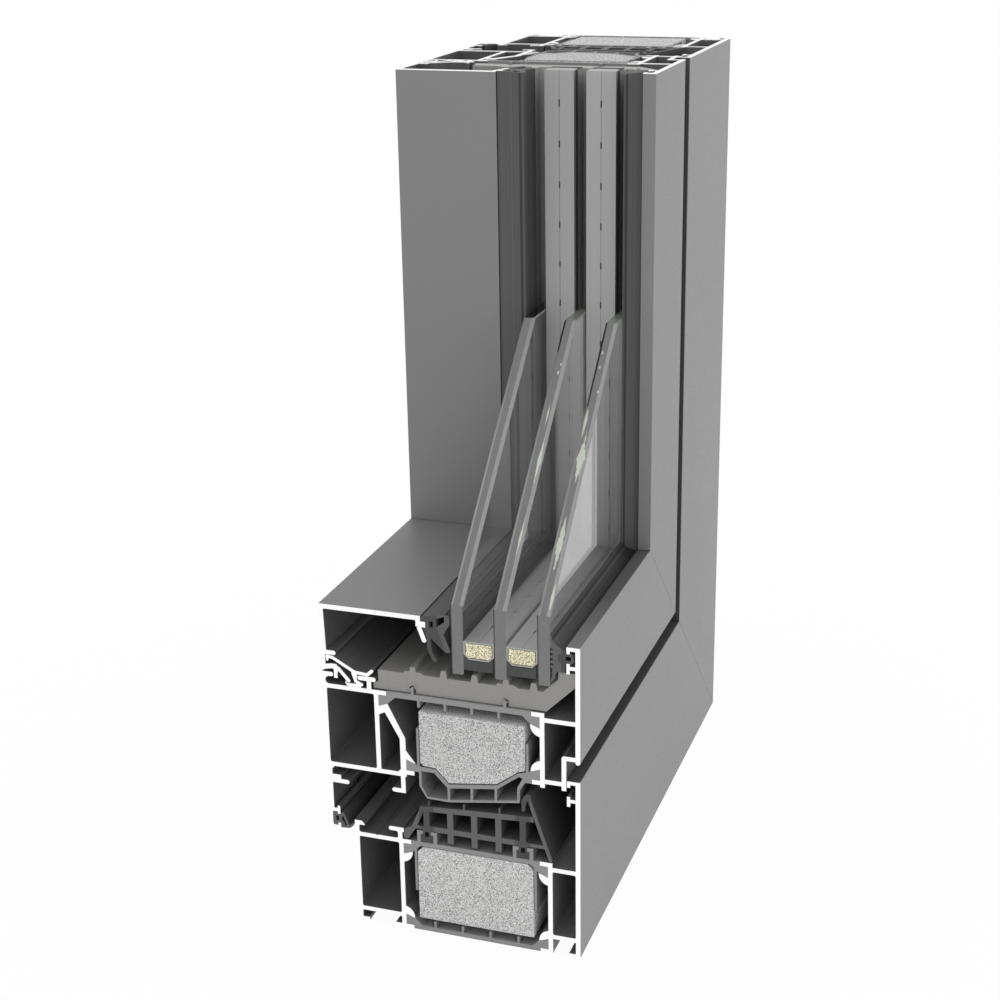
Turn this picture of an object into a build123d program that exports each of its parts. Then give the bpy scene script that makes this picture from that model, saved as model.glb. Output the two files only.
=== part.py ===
from build123d import *
from math import atan2, degrees, hypot
import os

# Corner sample of a thermally broken aluminium window, in millimetres.
# Sections are drawn with x = 0 on the outside face, negative towards the room, and z = 0 at the underside.

# Overall sizes
sill_length = 193.0
jamb_height = 269.0
frame_depth = 77.0
sash_overlap = 9.0
mitre_gap = 0.1

# Heights of the stacked profiles
frame_body_height = 33.3
rebate_height = 23.0
sash_body_height = 29.5
bead_height = 27.5
frame_face_rise = 30.2
face_gap = 6.0
sash_face_rise = 23.2

# Depths of the aluminium shells
frame_outer_width = 10.7
frame_inner_width = 17.0
sash_outer_width = 13.0
sash_inner_width = 28.0
sash_inner_neck = 8.7

# Walls, lips and running clearance
wall = 1.5
leg_wall = 1.9
lip = 1.2
chamber_radius = 0.6
fit = 0.05

# Rolled-in groove that grips the foot of a plastic bar
groove_reach = 2.7
groove_mouth = 2.8
groove_root = 4.0
tongue_reach = 3.1
tongue_root = 6.9
tongue_tip = 0.2
foot_slant = 6.0

# Hooks and small channels of the aluminium shells
base_channel_height = 3.8
base_lip_reach = 3.8
outer_floor_height = 7.0
outer_ceiling_drop = 1.6
hook_height = 4.2
hook_reach = 3.5
hook_flat = 2.5
groove_radius = 0.7
drill_line_inset = 7.8
drill_line_width = 0.9
drill_line_depth = 0.3
hook_bar_width = 5.3
hook_bar_nose = 0.3
face_hook_reach = 4.3
face_hook_drop = 2.2
face_groove_height = 6.3
face_hook_wall = 1.05
face_tee_height = 3.5
tee_upstand = 0.9
step_gap = 0.2
step_rise = 2.5
step_radius = 1.0
sash_outer_floor_rise = 5.1
sash_outer_lip_rise = 4.4
sash_inner_lip_rise = 0.9
hardware_groove_depth = 6.0
hardware_lip_reach = 6.3
hardware_hook_width = 4.4
drop_leg_height = 22.5

# Bead seat, glazing bead and bead clip
seat_lip_height = 4.2
seat_lip_reach = 4.0
tee_width = 6.2
tee_inset = 12.4
bead_hook_rise = 1.5
bead_tab_gap = 0.3
bead_tab_depth = 1.9
bead_spring_reach = 5.0
bead_lug_drop = 1.8
bead_lug_reach = 1.7
bead_lug_height = 1.85
bead_leg_run = 1.6
bead_leg_fall = 4.4
bead_rib_rise = 10.25
bead_rib_reach = 5.2
bead_taper = 0.5
bead_radius = 0.5
clip_thickness = 1.1
clip_foot_height = 1.25
clip_curl = 0.4

# Pocket for the stop gasket in the foot of the sash leg
leg_pocket_wall = 1.3
leg_pocket_base = 0.7
leg_pocket_height = 5.1
leg_nub_reach = 4.0
leg_nub_width = 0.9
leg_pocket_radius = 0.7

# Plastic bars
bar_thickness = 1.6
rib_thickness = 0.8
rib_height = 2.3
rib_pitch = 9.6
wing_inset = 4.2
wing_length = 15.0
channel_inset = 8.3
channel_width = 4.4
channel_wall = 1.2
channel_height = 4.1
channel_hook = 0.8
bridge_barb_height = 2.8
barb_hook = 0.6
barb_head = 1.2
bar_upstand = 0.1

# Chambered bar under the sash: heights from the sash's underside, depths as shares of the bar's width
chambered_rise = 4.25
chambered_drop = 6.8
chambered_slope = 3.7
chamber_roof = 1.35
shoulder_share = 0.222
keel_share = 0.322
divider_share = 0.5
heel_share = 0.68

# Centre gasket: thickness of its parts, and heights as shares of the rebate
centre_web = 2.0
centre_web_count = 5
centre_foot_rise = 1.2
centre_left_share = 0.535
centre_right_share = 0.635
centre_crown_share = 0.98
centre_fold_share = 0.765
centre_fin_share = 0.13
flap_thickness = 1.2
foot_flap_thickness = 1.5
fold_thickness = 1.7
fin_thickness = 0.5

# Inner glazing gasket
inner_crown = 1.4
inner_tail_drop = 11.6

# Outer glazing gasket
outer_rib_spacing = 1.65
weather_lip_height = 3.7
outer_head_gap = 0.35
outer_tail_drop = 3.2

# Insulating foam
foam_inset = 4.9
foam_chamfer = 2.0
foam_gap = 0.3
foam_lift = 0.8
foam_bed_gap = 0.5

# Insulating glass unit
pane_thickness = 4.0
cavity_width = 10.0
outer_gasket_room = 9.5
inner_gasket_room = 10.1
glass_edge_rise = 9.4
glass_front_rise = 23.2
glass_cut_run = 74.0
glass_cut_rise = 72.2
glass_arris = 0.4
glass_slope_arris = 1.0
spacer_rise = 5.4
spacer_height = 6.1
spacer_chamfer = 1.7
spacer_wall = 0.45
spacer_slot_length = 2.2
spacer_slot_width = 0.5
spacer_slot_pitch = 13.1
spacer_slot_start = 7.9
sealant_depth = 3.5

# Glazing bridge that carries the glass
bridge_height = 6.6
bridge_lift = 0.2
bridge_setback = 0.8
bridge_nose = 1.7
bridge_arm_reach = 5.6
bridge_arm_rise = 9.5
shoulder_reach = 3.2
shoulder_height = 0.8
ridge_top = 1.5
ridge_base = 2.4
ridge_pitch = 10.3

# Levels and depths worked out from the sizes above
sash_base = frame_body_height + rebate_height
sash_top = sash_base + sash_body_height
bead_top = sash_top + bead_height
frame_face_top = frame_body_height + frame_face_rise
sash_face_base = frame_face_top + face_gap
sash_face_top = sash_top + sash_face_rise
glass_edge = sash_top + glass_edge_rise
sash_depth = frame_depth + sash_overlap
frame_back = -frame_depth
frame_inner_front = frame_back + frame_inner_width
frame_outer_back = -frame_outer_width
sash_back = -sash_depth
sash_inner_front = sash_back + sash_inner_width
sash_neck_front = sash_inner_front - sash_inner_neck
sash_outer_back = -sash_outer_width
glass_outside = -outer_gasket_room
glass_inside = glass_outside - 3 * pane_thickness - 2 * cavity_width
bead_front = glass_inside - inner_gasket_room


def shape(*points):
    """Flat area inside a closed run of points."""
    return make_face(Polyline(*points, close=True))


def plate(x_one, x_two, z_one, z_two):
    """Straight wall between two depths and two heights."""
    width = abs(x_two - x_one)
    height = abs(z_two - z_one)
    return Pos((x_one + x_two) / 2, (z_one + z_two) / 2) * Rectangle(width, height)


def chamber(x_one, x_two, z_one, z_two):
    """Hollow with the rounded corners of an extrusion die."""
    width = abs(x_two - x_one)
    height = abs(z_two - z_one)
    return Pos((x_one + x_two) / 2, (z_one + z_two) / 2) * RectangleRounded(width, height, chamber_radius)


def rounded(section, radius, *corners):
    """The section with the corners nearest to the given points rounded."""
    for x, z in corners:
        section = fillet(section.vertices().sort_by_distance((x, z, 0))[0], radius)
    return section


def strip(thickness, *points):
    """Wall of one thickness along a run of points, flat where it starts and round where it ends."""
    run = None
    for start, end in zip(points, points[1:]):
        length = hypot(end[0] - start[0], end[1] - start[1])
        turn = degrees(atan2(end[1] - start[1], end[0] - start[0]))
        middle = Pos((start[0] + end[0]) / 2, (start[1] + end[1]) / 2)
        piece = middle * Rot(0, 0, turn) * Rectangle(length, thickness) + Pos(*end) * Circle(thickness / 2)
        run = piece if run is None else run + piece
    return run


def groove_place(wall_x, side, base_z, up):
    """Turns a reach from the shell wall and a rise from the lip into a point of the section."""
    def place(reach, rise):
        return (wall_x + side * reach, base_z + up * rise)
    return place


def tongue(wall_x, side, base_z, up):
    """Rolled tongue of the shell, round behind, that presses on the bar's foot."""
    place = groove_place(wall_x, side, base_z, up)
    tip = place(tongue_reach, groove_mouth + tongue_tip)
    root = place(0, tongue_root)
    back = ThreePointArc(tip, place(tongue_reach * 0.74, tongue_root * 0.79), root)
    rest = Polyline(
        root,
        place(-wall / 2, tongue_root),
        place(-wall / 2, groove_root),
        place(0, groove_root),
        place(tongue_reach, groove_mouth),
        tip,
    )
    return make_face(back + rest)


def foot(wall_x, side, base_z, up, thickness):
    """Dovetail foot of a plastic bar, held between the lip and the tongue of a shell."""
    place = groove_place(wall_x, side, base_z, up)
    return shape(
        place(fit, fit),
        place(groove_reach + fit, fit),
        place(groove_reach + fit, fit - thickness),
        place(foot_slant, fit - thickness),
        place(foot_slant, fit),
        place(tongue_reach, groove_mouth - fit),
        place(fit, groove_root - fit),
    )


def face_groove(top):
    """Return, hook and tee behind the top of an outside face, which hold a gasket's foot."""
    hook_back = -face_hook_reach
    slot_back = hook_back + face_hook_wall
    tee_top = top - face_groove_height
    groove = plate(hook_back, 0, top - lip, top)
    groove += plate(hook_back, slot_back, top - face_hook_drop, top)
    groove += plate(slot_back - face_hook_wall / 2, -wall / 2, tee_top - lip, tee_top)
    groove += plate(hook_back, slot_back, tee_top + tee_upstand - face_tee_height, tee_top + tee_upstand)
    return groove


def frame_inner_section():
    """Room-side shell of the frame: one chamber, a base channel and the hardware groove on top."""
    front = frame_inner_front
    top = frame_body_height
    floor = base_channel_height
    shell = plate(frame_back, front, 0, top)
    shell -= chamber(frame_back + wall, front - wall, floor + wall, top - wall)
    shell -= plate(frame_back + wall, front - wall, lip, floor)
    shell -= plate(frame_back + base_lip_reach, front - base_lip_reach, 0, lip)
    shell += plate(front, front + groove_reach, top - wall, top)
    shell += plate(front, front + groove_reach, 0, lip)
    shell += tongue(front, 1, top - wall, -1)
    shell += tongue(front, 1, lip, 1)
    hook_top = top + hook_height
    shell += shape(
        (frame_back, top - wall / 2),
        (frame_back, hook_top),
        (frame_back + hook_flat, hook_top),
        (frame_back + hook_reach, hook_top - lip),
        (frame_back + hook_reach, hook_top - wall),
        (frame_back + wall, hook_top - wall),
        (frame_back + wall, top - wall / 2),
    )
    stem = front - wall - hook_bar_nose
    bar_rise = hook_top - hook_bar_nose / 2 - wall / 2
    bar_end = front + hook_bar_nose
    shell += plate(stem, stem + wall, top - wall / 2, bar_rise)
    shell += plate(stem, bar_end, bar_rise - wall / 2, bar_rise + wall / 2)
    shell += strip(wall, (stem + wall / 2, bar_rise), (bar_end - hook_bar_width + wall / 2, bar_rise))
    drill_line = frame_back + drill_line_inset
    shell -= shape(
        (drill_line - drill_line_width / 2, top + fit),
        (drill_line, top - drill_line_depth),
        (drill_line + drill_line_width / 2, top + fit),
    )
    for x, ceiling in ((frame_back + wall, hook_top - wall), (stem, bar_rise - wall / 2)):
        shell = rounded(shell, groove_radius, (x, top), (x, ceiling))
    return shell


def frame_outer_section():
    """Weather-side shell of the frame: a narrow chamber and the tall outside face."""
    back = frame_outer_back
    ceiling = frame_body_height - outer_ceiling_drop
    shell = plate(back, 0, 0, ceiling)
    shell -= chamber(back + wall, -wall, outer_floor_height, ceiling - wall)
    shell -= plate(back + wall, -wall, lip, outer_floor_height - wall)
    shell -= plate(back + wall, -base_lip_reach, 0, lip)
    shell += plate(-wall, 0, 0, frame_face_top)
    shell += plate(back - groove_reach, back + wall, frame_body_height - wall, frame_body_height)
    shell += plate(back, back + wall, ceiling - wall / 2, frame_body_height)
    shell += plate(back - groove_reach, back, 0, lip)
    shell += tongue(back, -1, frame_body_height - wall, -1)
    shell += tongue(back, -1, lip, 1)
    shell += face_groove(frame_face_top)
    return shell


def sash_inner_section():
    """Room-side shell of the sash: two chambers, the bead seat, and a long leg round the hardware groove."""
    back = sash_back
    front = sash_inner_front
    neck = sash_neck_front
    upper = groove_place(neck, 1, sash_top - wall, -1)
    bend = sash_base + sash_body_height / 2 - 1.0
    shell = plate(back, neck, sash_base, sash_top)
    shell += shape(
        (neck - wall / 2, sash_base),
        (front, sash_base),
        (front, bend),
        upper(tongue_reach, groove_mouth + tongue_tip),
        upper(tongue_reach, groove_mouth),
        upper(0, groove_root),
        upper(-wall / 2, groove_root),
    )
    shell -= chamber(back + wall, neck - wall, sash_base + wall, sash_top - wall)
    shell -= shape(
        (neck, sash_base + wall),
        (front - leg_wall - 1, sash_base + wall),
        (front - leg_wall, sash_base + wall + 1),
        (front - leg_wall, bend - 0.4),
        (neck + 2.0, sash_top - 7.4),
        (neck, sash_top - 8.4),
    )
    lower_lip = sash_base + sash_inner_lip_rise
    shell += plate(neck - wall / 2, neck + groove_reach, sash_top - wall, sash_top)
    shell += plate(front - wall / 2, front + groove_reach, lower_lip, lower_lip + wall)
    lower = groove_place(front, 1, lower_lip + wall, 1)
    shell += shape(
        lower(-wall / 2, groove_root),
        lower(0, groove_root),
        lower(tongue_reach, groove_mouth),
        lower(tongue_reach, groove_mouth + tongue_tip),
        lower(0, groove_root + tongue_reach),
        lower(-wall / 2, groove_root + tongue_reach),
    )
    groove_floor = sash_base - hardware_groove_depth
    shell += plate(front - wall - 0.5, front - 0.5, groove_floor, sash_base + wall / 2)
    groove_rise = groove_floor + wall / 2
    shell += strip(wall, (front - wall, groove_rise), (front - hardware_hook_width, groove_rise))
    shell += plate(back, back + leg_wall, sash_base - drop_leg_height, sash_base + wall / 2)
    shell += shape(
        (back + leg_wall, sash_base - 1),
        (back + leg_wall + 1, sash_base),
        (back + leg_wall, sash_base + wall / 2),
    )
    shell += plate(back + wall / 2, back + hardware_lip_reach - 1.4, groove_floor, groove_floor + 2 * wall)
    shell += strip(wall, (back + wall, groove_rise), (back + hardware_lip_reach + wall / 2, groove_rise))
    leg_base = sash_base - drop_leg_height
    nub_end = back + leg_nub_reach
    pocket_low = leg_base + leg_pocket_base
    pocket_high = pocket_low + leg_pocket_height
    shell += plate(back, nub_end, pocket_high, pocket_high + lip)
    shell += plate(nub_end - leg_nub_width, nub_end, pocket_high - leg_nub_width, pocket_high + 2.1)
    shell += plate(back, nub_end, leg_base, pocket_low)
    shell += plate(nub_end - leg_nub_width, nub_end, leg_base, pocket_low + leg_nub_width)
    pocket_back = back + leg_pocket_wall
    pocket_front = nub_end - leg_nub_width
    shell -= plate(pocket_back, pocket_front, pocket_low, pocket_high)
    shell = rounded(shell, leg_pocket_radius, (pocket_back, pocket_low), (pocket_back, pocket_high))
    lip_rise = sash_top + seat_lip_height - wall / 2
    shell += strip(wall, (back + wall / 2, lip_rise), (back + seat_lip_reach - wall / 2, lip_rise))
    pocket_radius = (seat_lip_height - wall) / 2
    shell += plate(back, back + lip + pocket_radius, sash_top, lip_rise)
    shell -= Pos(back + lip + pocket_radius, sash_top + pocket_radius) * Circle(pocket_radius)
    shell += plate(back, back + wall / 2, lip_rise, lip_rise + wall / 2)
    tee_middle = back + tee_inset + tee_width / 2
    tee_stem = tee_middle + wall / 2
    shell += plate(tee_stem - wall / 2, tee_stem + wall / 2, sash_top - wall / 2, lip_rise)
    for side in (-1, 1):
        shell += strip(wall, (tee_middle, lip_rise), (tee_middle + side * (tee_width - wall) / 2, lip_rise))
    return shell


def sash_outer_section():
    """Weather-side shell of the sash: one stepped chamber and the flush outside face."""
    back = sash_outer_back
    ceiling = sash_top - outer_ceiling_drop
    floor = sash_base + sash_outer_floor_rise
    step_back = -face_hook_reach - step_gap - wall
    step_top = sash_face_base + step_rise
    lower_lip = sash_base + sash_outer_lip_rise
    shell = plate(back, 0, floor, ceiling)
    shell -= plate(step_back, 0, floor, step_top)
    shell += plate(step_back, 0, step_top - wall, step_top)
    shell += plate(step_back, step_back + wall, floor - wall, step_top)
    hollow = shape(
        (back + wall, floor + wall),
        (step_back, floor + wall),
        (step_back, step_top),
        (-wall, step_top),
        (-wall, ceiling - wall),
        (back + wall, ceiling - wall),
    )
    step_corner = hollow.vertices().sort_by_distance((step_back, step_top, 0))[0]
    shell -= fillet(step_corner, step_radius)
    shell += strip(wall, (-wall / 2, sash_face_top), (-wall / 2, sash_face_base + wall / 2))
    shell += plate(back, back + wall, floor - wall, sash_top)
    shell += plate(back - groove_reach, back + wall, sash_top - wall, sash_top)
    shell += plate(back - groove_reach, back + wall / 2, lower_lip, lower_lip + wall)
    shell += tongue(back, -1, sash_top - wall, -1)
    shell += tongue(back, -1, lower_lip + wall, 1)
    shell += face_groove(sash_face_top)
    return shell


def glazing_bead_section():
    """Snap-in bead on the room side, with a gasket lug in front and spring hooks at the back."""
    back = sash_back
    seat = sash_top + seat_lip_height
    hook = seat + bead_hook_rise
    rib = sash_top + bead_rib_rise
    lug_base = bead_top - bead_lug_drop - bead_lug_height
    bead = plate(back, bead_front, bead_top - wall, bead_top)
    bead += plate(bead_front - wall, bead_front, lug_base, bead_top)
    bead += plate(bead_front - wall / 2, bead_front + bead_lug_reach, lug_base, lug_base + bead_lug_height)
    leg_top = (bead_front - wall / 2 + 0.3, lug_base)
    bead += strip(wall, leg_top, (leg_top[0] + bead_leg_run, leg_top[1] - bead_leg_fall))
    bead += plate(back, back + wall, hook + wall / 2, bead_top)
    bead += shape(
        (back + wall / 2, rib + wall / 2),
        (back + wall + bead_taper, rib + wall / 2),
        (back + wall, bead_top - wall / 2),
        (back + wall / 2, bead_top - wall / 2),
    )
    rib_start = (back + wall / 2, rib + wall / 2)
    rib_end = (back + bead_rib_reach - wall / 2, rib + wall / 2)
    bead += strip(wall, rib_start, rib_end)
    tab = back + seat_lip_reach + bead_tab_gap
    bead += shape(
        (back, seat + fit),
        (back + 1.2, hook - 0.7),
        (tab - 0.8, hook - 0.2),
        (tab, hook - 0.3),
        (tab, seat - bead_tab_depth),
        (tab + lip, seat - bead_tab_depth),
        (tab + lip, seat),
        (tab + 2.0, hook),
        (tab + 0.9, hook + wall),
        (tab - 0.8, hook + wall),
        (back + wall / 2, hook + 1.0),
        (back, hook + 1.0),
    )
    spring_end = (tab + bead_spring_reach, sash_top + clip_foot_height + 0.7)
    bead += strip(lip, (tab + 1.3, hook + 0.4), spring_end)
    ceiling = bead_top - wall
    return rounded(bead, bead_radius, (back + wall, ceiling), (bead_front - wall, ceiling))


def bead_clip_section():
    """Spring clip between the bead and its seat."""
    half = clip_thickness / 2
    room = sash_back + wall + 0.2
    head = sash_top + bead_rib_rise - half - fit
    seat = sash_top + seat_lip_height + half + 2 * fit
    tee_end = sash_back + tee_inset
    riser = tee_end - 1.6
    clip = strip(
        clip_thickness,
        (room, head),
        (room + 2.3, head - 0.3),
        (tee_end - 1.0, seat + 0.4),
        (tee_end + 3.4, seat),
        (tee_end + 5.0, seat + 1.5),
    )
    clip += strip(clip_thickness - 0.3, (room + 0.5, head), (room + 0.5, head - 1.3))
    foot_rise = sash_top + fit + half
    toe = (tee_end + 1.3, sash_top + 1.2)
    clip += strip(clip_thickness, (riser, seat + 0.3), (riser + 1.0, sash_top + 2.0), toe)
    clip += strip(clip_thickness, (tee_end + 0.4, foot_rise), (riser - 1.8, foot_rise))
    clip += shape(
        (tee_end, sash_top + fit),
        (tee_end + 0.9, sash_top + fit),
        (tee_end + 1.7, sash_top + 1.0),
        (tee_end, sash_top + 1.5),
    )
    clip += shape(
        (riser + 0.2, seat + 0.5),
        (tee_end, seat - half),
        (tee_end - 0.5, sash_top + 2.1),
        (riser + 0.9, sash_top + 2.1),
    )
    heel = riser - 2.1
    curl_end = (heel - 0.25, foot_rise + 1.0)
    clip += strip(clip_curl, (heel, foot_rise), (heel - 0.4, foot_rise + 0.5), curl_end)
    return clip


def bar_plate(left, right, low, high):
    """Flat web of a bar between the two lips that it bears on."""
    return plate(left + groove_reach + fit, right - groove_reach - fit, low, high)


def rib(middle, low, high):
    """Thin upright web of a plastic bar."""
    return plate(middle - rib_thickness / 2, middle + rib_thickness / 2, low, high)


def frame_bar_upper_section():
    """Polyamide bar across the top of the frame's thermal break, with channels for the centre gasket."""
    left = frame_inner_front
    right = frame_outer_back
    top = frame_body_height
    bar = bar_plate(left, right, top - bar_thickness, top - fit)
    bar += foot(left, 1, top - wall, -1, wall)
    bar += foot(right, -1, top - wall, -1, wall)
    for wing in (left + wing_inset, right - wing_inset):
        bar += rib(wing, top - 3.4 - wing_length, top - 2.6)
    for middle in (left + channel_inset, right - channel_inset):
        for side in (-1, 1):
            inner = middle + side * channel_width / 2
            outer = inner + side * channel_wall
            bar += plate(inner, outer, top - bar_thickness / 2, top + channel_height)
            crest = top + channel_height
            bar += plate(inner - side * channel_hook, outer, crest - lip, crest)
    return bar


def frame_bar_lower_section():
    """Polyamide bar across the base of the frame's thermal break."""
    left = frame_inner_front
    right = frame_outer_back
    bar = bar_plate(left, right, 0, bar_thickness)
    bar += foot(left, 1, lip, 1, lip + fit)
    bar += foot(right, -1, lip, 1, lip + fit)
    middle = (left + right) / 2
    for number in (-1.5, -0.5, 0.5, 1.5):
        bar += rib(middle + number * rib_pitch, bar_thickness / 2, bar_thickness + rib_height)
    return bar


def sash_bar_upper_section():
    """Polyamide bar under the glass, ribbed below and barbed above for the glazing bridge."""
    left = sash_neck_front
    right = sash_outer_back
    top = sash_top + bar_upstand
    under = sash_top - bar_thickness - 0.2
    bar = bar_plate(left, right, under, top)
    bar += foot(left, 1, sash_top - wall, -1, wall)
    bar += foot(right, -1, sash_top - wall, -1, wall)
    for number in range(4):
        bar += rib(left + 13.6 + number * (rib_pitch - 0.7), under - rib_height, top - bar_thickness)
    tip = top + bridge_barb_height
    for barb, side in bridge_barbs():
        back = barb - side * rib_thickness / 2
        bar += rib(barb, top - bar_thickness / 2, tip - barb_head / 2)
        bar += shape(
            (back, tip),
            (back + side * (rib_thickness + barb_hook), tip - barb_head),
            (back, tip - barb_head),
        )
    return bar


def bridge_barbs():
    """Depth of each barb that holds the glazing bridge, and the side that it hooks to."""
    return (sash_neck_front + 11.6, -1), (sash_outer_back - 11.3, 1)


def height_on(start, end, x):
    """Height at one depth of the straight line between two points."""
    return start[1] + (end[1] - start[1]) * (x - start[0]) / (end[0] - start[0])


def bar_share(share):
    """Depth at a share of the chambered bar's width, from the room side."""
    return sash_inner_front + share * (sash_outer_back - sash_inner_front)


def chambered_bar_top():
    """Upper side of the chambered bar, from its room-side wing to its weather-side wing."""
    left = sash_inner_front
    right = sash_outer_back
    high = sash_base + chambered_rise
    return [
        (left + wing_inset - 0.2, high + 0.2),
        (bar_share(shoulder_share), high),
        (bar_share(keel_share), high - 4.65),
        (bar_share(heel_share), high - 2.35),
        (right - wing_inset - 3.1, high + 3.0),
        (right - wing_inset - 0.2, high + 3.8),
    ]


def sash_bar_chambered_section():
    """Polyamide bar with four chambers at the underside of the sash."""
    left = sash_inner_front
    right = sash_outer_back
    room = groove_place(left, 1, sash_base + sash_inner_lip_rise + wall, 1)
    weather = groove_place(right, -1, sash_base + sash_outer_lip_rise + wall, 1)
    top = chambered_bar_top()
    low = sash_base - chambered_drop
    web = rib_thickness
    keel = (bar_share(keel_share), low)
    heel = (right - foot_slant - 0.9, low + chambered_slope)
    room_wall = left + wing_inset + 0.1
    outline = [
        room(fit, fit),
        room(foot_slant - 1.7, fit),
        (room_wall, sash_base - 2.5),
        (room_wall + 2.5, low + 0.1),
        keel,
        heel,
        (heel[0] + 0.1, sash_base + 1.4),
        (heel[0] + 1.9, sash_base + sash_outer_lip_rise),
        weather(groove_reach + fit, fit - wall),
        weather(groove_reach + fit, fit),
        weather(fit, fit),
        weather(fit, groove_root - fit),
        weather(tongue_reach, groove_mouth - fit),
    ]
    outline += reversed(top)
    outline += [room(tongue_reach, groove_mouth - fit), room(fit, groove_root - fit)]
    bar = shape(*outline)
    room_end = keel[0] - web + 0.2
    bar -= shape(
        (room_wall + web, top[0][1] - chamber_roof - 0.2),
        (top[1][0] - 0.5, top[1][1] - chamber_roof),
        (room_end, top[2][1] - chamber_roof),
        (room_end, low + web),
        (room_wall + 2.7, low + web),
        (room_wall + web, sash_base - 2.5),
    )
    edges = (room_end + web, bar_share(divider_share), bar_share(heel_share))
    for start, end in zip(edges, edges[1:]):
        bar -= shape(
            (start, height_on(keel, heel, start) + web),
            (end - web, height_on(keel, heel, end - web) + web),
            (end - web, height_on(top[2], top[3], end - web) - chamber_roof),
            (start, height_on(top[2], top[3], start) - chamber_roof),
        )
    bar -= shape(
        (edges[2], height_on(keel, heel, edges[2]) + web),
        (heel[0] - web, heel[1] + web - 0.1),
        (heel[0] - web + 0.1, sash_base + 2.2),
        (heel[0] + 1.1, sash_base + 5.7),
        (heel[0] - 0.1, sash_base + 6.15),
        (edges[2], top[3][1] - chamber_roof),
    )
    room_base = top[0][1] - 1.0
    weather_base = top[5][1] - 1.0
    bar += rib(left + wing_inset, room_base, room_base + wing_length - 0.45)
    bar += rib(right - wing_inset, weather_base, weather_base + wing_length - 3.95)
    return bar


def frame_foam_section():
    """Rigid foam that fills the frame's thermal break."""
    left = frame_inner_front + foam_inset
    right = frame_outer_back - foam_inset
    low = bar_thickness + rib_height + foam_lift
    high = frame_body_height - bar_thickness - foam_gap
    foam = plate(left, right, low, high)
    corners = foam.vertices().group_by(Axis.Y)[-1]
    return chamfer(corners, foam_chamfer)


def sash_foam_section():
    """Rigid foam that stands on the chambered bar."""
    left = sash_inner_front + foam_inset
    right = sash_outer_back - foam_inset
    high = sash_top - 5.5
    top = [(x, z + foam_bed_gap) for x, z in chambered_bar_top()]
    return shape((left, high), (left, top[0][1] + 1.2), (left + 0.8, top[0][1]), *top[1:5],
                 (right, top[5][1]), (right, high))


def centre_gasket_section():
    """Rubber centre seal: two feet in the bar's channels, a ladder of webs and two sealing flaps."""
    left = frame_inner_front + channel_inset
    right = frame_outer_back - channel_inset
    top = frame_body_height
    rail = top + channel_height + centre_foot_rise
    deck = centre_web - 0.1
    upper_start = (left - 1.4, top + centre_left_share * rebate_height)
    upper_end = (right + 3.6, top + centre_right_share * rebate_height)
    seal = strip(deck, (left - 1.0, rail), (right + 1.0, rail))
    seal += strip(deck, upper_end, upper_start)
    pitch = (right - left) / (centre_web_count - 1)
    for number in range(centre_web_count):
        middle = left + number * pitch
        at_end = number in (0, centre_web_count - 1)
        low = rail if at_end else top + 0.9
        high = height_on(upper_start, upper_end, middle)
        seal += plate(middle - centre_web / 2, middle + centre_web / 2, low, high)
    for middle in (left, right):
        half = channel_width / 2 - fit
        neck = channel_width / 2 - channel_hook - fit
        seal += plate(middle - half, middle + half, top + fit, top + channel_height - lip - fit)
        seal += plate(middle - neck, middle + neck, top + lip, rail)
        seal -= plate(middle - neck / 2, middle + neck / 2, top + centre_web, rail - 1.4)
    knee = (left - 4.3, rail)
    toe = (left - 7.0, top + lip)
    seal += strip(foot_flap_thickness, upper_start, knee, toe)
    seal += strip(lip, (left, rail), knee)
    seal += shape(
        (left - 4.9, rail),
        (left - 6.4, rail - 0.6),
        (left - 7.5, rail - 1.2),
        (left - 7.6, top + 2.8),
        (left - 8.1, top + 2.4),
        (left - 8.1, top + 0.6),
        (left - 6.4, top + 0.6),
        (left - 4.5, rail - 1.2),
    )
    crown = (right + 1.9, top + centre_crown_share * rebate_height)
    fold = top + centre_fold_share * rebate_height
    seal += strip(flap_thickness, crown, (right + 4.6, upper_end[1] - 0.2), (right + 9.2, top + 0.9))
    seal += Pos(*crown) * Circle(fold_thickness / 2)
    seal += strip(fold_thickness, crown, (right + 0.8, crown[1] - 1.2), (right + 0.4, crown[1] - 2.6))
    seal += strip(flap_thickness, (right + 0.4, crown[1] - 2.6), (right + 0.3, fold))
    seal += strip(lip, (right, rail), (right + 7.6, rail))
    for number in range(3):
        place = left + 1.0 + number * 1.47 * pitch
        base = height_on(upper_start, upper_end, place)
        tip = base + centre_fin_share * rebate_height
        seal += plate(place - fin_thickness / 2, place + fin_thickness / 2, base, tip)
    return seal


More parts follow.
